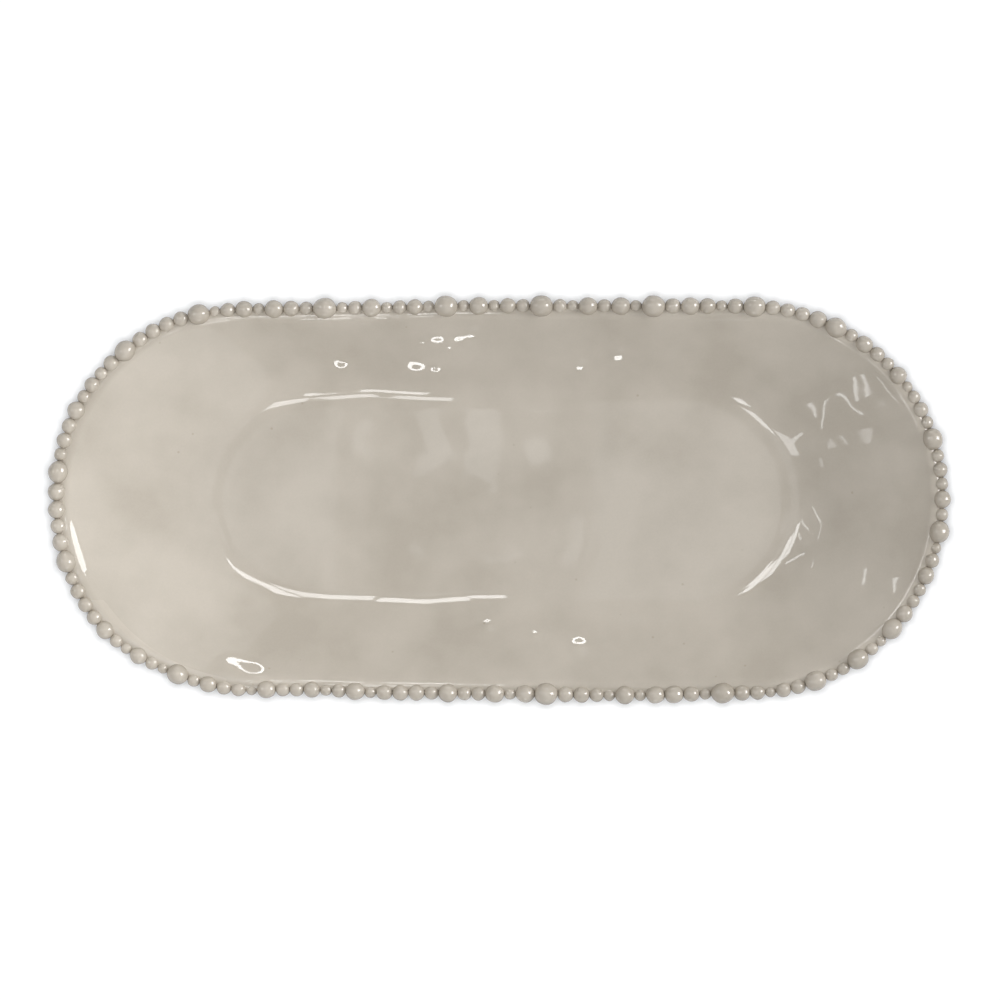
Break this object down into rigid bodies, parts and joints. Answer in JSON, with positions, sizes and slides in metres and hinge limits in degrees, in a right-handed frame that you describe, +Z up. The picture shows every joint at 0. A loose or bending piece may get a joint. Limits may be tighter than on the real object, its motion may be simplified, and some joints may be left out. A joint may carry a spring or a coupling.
{
  "type": "asparagus plate",
  "caption": "Deep oblong stoneware serving plate on a foot ring, with a flat floor, sloping walls and a lip edged all round with hand-rolled clay beads of mixed sizes.",
  "frame": {"origin": "centre of the box of the plate, at the plane that the foot ring rests on", "axes": "+X along the plate, towards the right of the picture; +Y across it, towards the top of the picture; +Z up, out of the well"},
  "size_m": [0.4509, 0.2051, 0.0444],
  "materials": {
    "dish_glaze": "glossy warm grey stoneware glaze, thinner and lighter over edges",
    "bead_glaze": "glossy warm grey stoneware glaze, pooled darker in the creases between beads",
    "bare_clay": "bare fired stoneware, matt"
  },
  "bodies": {
    "root": {"dish": "dish_glaze", "foot_ring": "bare_clay", "beads_back_tiny": "bead_glaze", "beads_back_small": "bead_glaze", "beads_back_medium": "bead_glaze", "beads_back_large": "bead_glaze", "beads_back_giant": "bead_glaze", "beads_right_tiny": "bead_glaze", "beads_right_small": "bead_glaze", "beads_right_medium": "bead_glaze", "beads_right_large": "bead_glaze", "beads_right_giant": "bead_glaze", "beads_front_tiny": "bead_glaze", "beads_front_small": "bead_glaze", "beads_front_medium": "bead_glaze", "beads_front_large": "bead_glaze", "beads_front_giant": "bead_glaze", "beads_left_tiny": "bead_glaze", "beads_left_small": "bead_glaze", "beads_left_medium": "bead_glaze", "beads_left_large": "bead_glaze", "beads_left_giant": "bead_glaze"}
  },
  "joints": []
}
